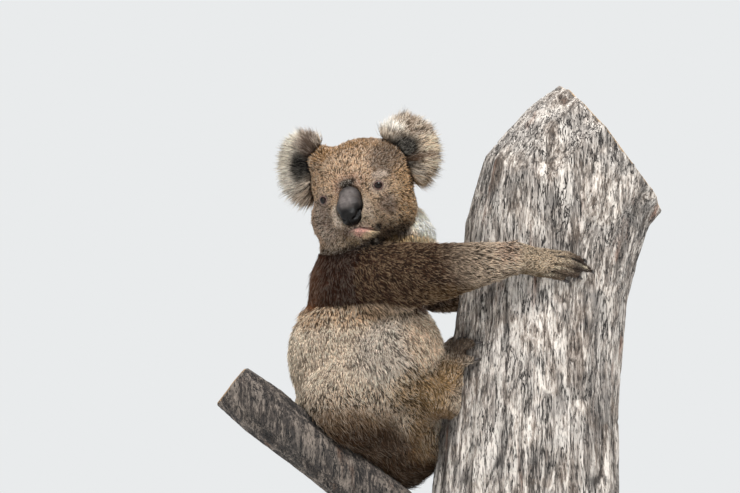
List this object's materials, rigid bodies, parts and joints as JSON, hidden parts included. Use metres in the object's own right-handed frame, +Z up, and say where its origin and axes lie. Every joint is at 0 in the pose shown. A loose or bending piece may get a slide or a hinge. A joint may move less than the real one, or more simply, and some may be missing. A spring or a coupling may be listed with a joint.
{
  "type": "koala",
  "caption": "Life-size still model of a koala hugging a cut length of forked gum trunk, head turned to the viewer, held up on a plain display stand.",
  "frame": {"origin": "centre of the display stand's flat underside", "axes": "+Z up; +X the way the animal's body faces, towards the trunk; -Y its right side, the side the picture shows, to which its head is turned"},
  "size_m": [0.6177, 0.3591, 0.8142],
  "materials": {
    "grey_fur": "dense woolly fur, pale grey-beige with fine dark grain",
    "brown_fur": "dense woolly fur, brown with pale tips",
    "nose_leather": "bare pebbled skin, dark grey, slightly moist",
    "eye": "wet gloss, dark brown",
    "claw": "smooth black horn",
    "bark": "pale grey fibrous bark, fissured",
    "limb_bark": "dark grey-brown fissured bark",
    "stand_paint": "black satin paint",
    "stand_steel": "satin steel"
  },
  "bodies": {
    "root": {"abdomen": "grey_fur", "chest": "brown_fur", "claw_foot_left_1": "claw", "claw_foot_left_2": "claw", "claw_foot_left_3": "claw", "claw_foot_left_4": "claw", "claw_foot_right_1": "claw", "claw_foot_right_2": "claw", "claw_foot_right_3": "claw", "claw_foot_right_4": "claw", "claw_hand_left_1": "claw", "claw_hand_left_2": "claw", "claw_hand_left_3": "claw", "claw_hand_left_4": "claw", "claw_hand_left_5": "claw", "claw_hand_right_1": "claw", "claw_hand_right_2": "claw", "claw_hand_right_3": "claw", "claw_hand_right_4": "claw", "claw_hand_right_5": "claw", "ear_left": "brown_fur", "ear_right": "brown_fur", "eye_left": "eye", "eye_right": "eye", "foot_left": "brown_fur", "foot_right": "brown_fur", "forearm_left": "brown_fur", "forearm_right": "brown_fur", "hand_left": "brown_fur", "hand_right": "brown_fur", "head": "brown_fur", "neck": "brown_fur", "nose": "nose_leather", "perch_limb": "limb_bark", "perch_trunk": "bark", "rump": "grey_fur", "shank_left": "brown_fur", "shank_right": "brown_fur", "stand_base": "stand_paint", "stand_rod_1": "stand_steel", "stand_rod_2": "stand_steel", "thigh_left": "grey_fur", "thigh_right": "grey_fur", "upper_arm_left": "brown_fur", "upper_arm_right": "brown_fur"}
  },
  "joints": []
}
